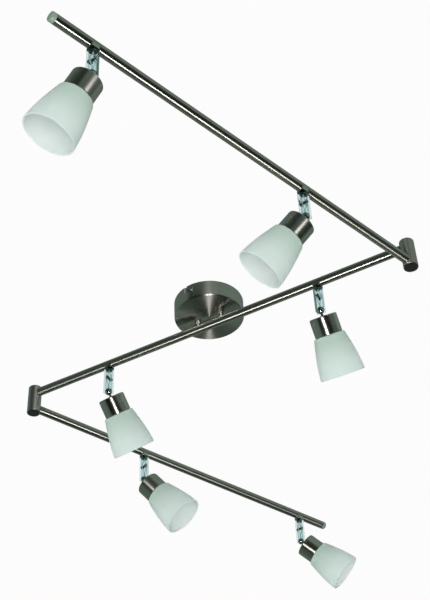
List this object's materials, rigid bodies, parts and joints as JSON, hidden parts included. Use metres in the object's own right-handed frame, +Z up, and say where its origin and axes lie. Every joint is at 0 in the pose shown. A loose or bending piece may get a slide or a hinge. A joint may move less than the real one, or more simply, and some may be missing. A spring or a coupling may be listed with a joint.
{
  "type": "track lighting fixture",
  "caption": "Folding ceiling spotlight bar: a canopy on posts carries hinged tubes with swivelling clear arms, brushed cups and opal glass bell shades.",
  "frame": {"origin": "centre of the canopy on the ceiling plane", "axes": "+Z up, out of the ceiling side; +X along the centre bar towards the right-hand knuckle"},
  "size_m": [0.692, 1.2334, 0.2331],
  "materials": {
    "satin_nickel": "brushed satin nickel plating",
    "chrome": "polished chrome",
    "zinc_steel": "zinc-plated steel",
    "clear_plastic": "clear moulded acrylic",
    "opal_glass": "satin opal glass",
    "bulb_glass": "frosted capsule bulb",
    "ceramic": "unglazed steatite",
    "white_plastic": "moulded",
    "black_plastic": "moulded",
    "rubber": "moulded",
    "wire": "clear-sleeved lead"
  },
  "bodies": {
    "fixed_frame": {"ceiling_bracket": "zinc_steel", "inlet_grommet": "rubber", "canopy": "satin_nickel", "canopy_screws": "zinc_steel", "hanger_posts": "satin_nickel", "post_nuts": "zinc_steel", "terminal_block": "white_plastic", "centre_tube": "satin_nickel", "knuckle_tops": "satin_nickel", "knuckle_pins": "zinc_steel", "saddles_centre": "satin_nickel", "wiring_centre": "wire"},
    "right_bar": {"outer_tube_right": "satin_nickel", "knuckle_base_right": "satin_nickel", "knuckle_cap_right": "black_plastic", "end_cap_right": "satin_nickel", "saddles_right": "satin_nickel", "wiring_right": "wire"},
    "left_bar": {"outer_tube_left": "satin_nickel", "knuckle_base_left": "satin_nickel", "knuckle_cap_left": "black_plastic", "end_cap_left": "satin_nickel", "saddles_left": "satin_nickel", "wiring_left": "wire"},
    "arm_1": {"arm_1": "clear_plastic"},
    "head_1": {"ball_stud_1": "chrome", "cup_1": "satin_nickel", "lampholder_1": "ceramic", "bulb_1": "bulb_glass", "shade_1": "opal_glass"},
    "arm_2": {"arm_2": "clear_plastic"},
    "head_2": {"ball_stud_2": "chrome", "cup_2": "satin_nickel", "lampholder_2": "ceramic", "bulb_2": "bulb_glass", "shade_2": "opal_glass"},
    "arm_3": {"arm_3": "clear_plastic"},
    "head_3": {"ball_stud_3": "chrome", "cup_3": "satin_nickel", "lampholder_3": "ceramic", "bulb_3": "bulb_glass", "shade_3": "opal_glass"},
    "arm_4": {"arm_4": "clear_plastic"},
    "head_4": {"ball_stud_4": "chrome", "cup_4": "satin_nickel", "lampholder_4": "ceramic", "bulb_4": "bulb_glass", "shade_4": "opal_glass"},
    "arm_5": {"arm_5": "clear_plastic"},
    "head_5": {"ball_stud_5": "chrome", "cup_5": "satin_nickel", "lampholder_5": "ceramic", "bulb_5": "bulb_glass", "shade_5": "opal_glass"},
    "arm_6": {"arm_6": "clear_plastic"},
    "head_6": {"ball_stud_6": "chrome", "cup_6": "satin_nickel", "lampholder_6": "ceramic", "bulb_6": "bulb_glass", "shade_6": "opal_glass"}
  },
  "joints": [
    {"name": "right_knuckle", "type": "hinge", "parent": "fixed_frame", "child": "right_bar", "pos_m": [0.335, 0, -0.059], "axis": [0, 0, 1], "range_deg": [-40, 198]},
    {"name": "left_knuckle", "type": "hinge", "parent": "fixed_frame", "child": "left_bar", "pos_m": [-0.335, 0, -0.059], "axis": [0, 0, 1], "range_deg": [-36, 202]},
    {"name": "arm_swivel_1", "type": "hinge", "parent": "right_bar", "child": "arm_1", "pos_m": [0.15423, -0.55637, -0.0861], "axis": [0, 0, 1], "range_deg": [-170, 170]},
    {"name": "arm_swivel_2", "type": "hinge", "parent": "right_bar", "child": "arm_2", "pos_m": [0.26547, -0.21399, -0.0861], "axis": [0, 0, 1], "range_deg": [-170, 170]},
    {"name": "arm_swivel_3", "type": "hinge", "parent": "fixed_frame", "child": "arm_3", "pos_m": [0.1875, 0, -0.0571], "axis": [0, 0, 1], "range_deg": [-170, 170]},
    {"name": "arm_swivel_4", "type": "hinge", "parent": "fixed_frame", "child": "arm_4", "pos_m": [-0.1875, 0, -0.0571], "axis": [0, 0, 1], "range_deg": [-170, 170]},
    {"name": "arm_swivel_5", "type": "hinge", "parent": "left_bar", "child": "arm_5", "pos_m": [-0.25071, 0.20862, -0.0861], "axis": [0, 0, 1], "range_deg": [-170, 170]},
    {"name": "arm_swivel_6", "type": "hinge", "parent": "left_bar", "child": "arm_6", "pos_m": [-0.11585, 0.5424, -0.0861], "axis": [0, 0, 1], "range_deg": [-170, 170]},
    {"name": "head_tilt_1", "type": "hinge", "parent": "arm_1", "child": "head_1", "pos_m": [0.15423, -0.55637, -0.129], "axis": [-0.1908, 0.9816, 0], "range_deg": [-80, 20]},
    {"name": "head_tilt_2", "type": "hinge", "parent": "arm_2", "child": "head_2", "pos_m": [0.26547, -0.21399, -0.129], "axis": [-0.1908, 0.9816, 0], "range_deg": [-93, 7]},
    {"name": "head_tilt_3", "type": "hinge", "parent": "arm_3", "child": "head_3", "pos_m": [0.1875, 0, -0.1], "axis": [0.9994, 0.0349, 0], "range_deg": [-90, 10]},
    {"name": "head_tilt_4", "type": "hinge", "parent": "arm_4", "child": "head_4", "pos_m": [-0.1875, 0, -0.1], "axis": [0.9945, -0.1045, 0], "range_deg": [-92, 8]},
    {"name": "head_tilt_5", "type": "hinge", "parent": "arm_5", "child": "head_5", "pos_m": [-0.25071, 0.20862, -0.129], "axis": [0.4695, -0.8829, 0], "range_deg": [-91, 9]},
    {"name": "head_tilt_6", "type": "hinge", "parent": "arm_6", "child": "head_6", "pos_m": [-0.11585, 0.5424, -0.129], "axis": [0.5299, -0.848, 0], "range_deg": [-99, 1]}
  ]
}
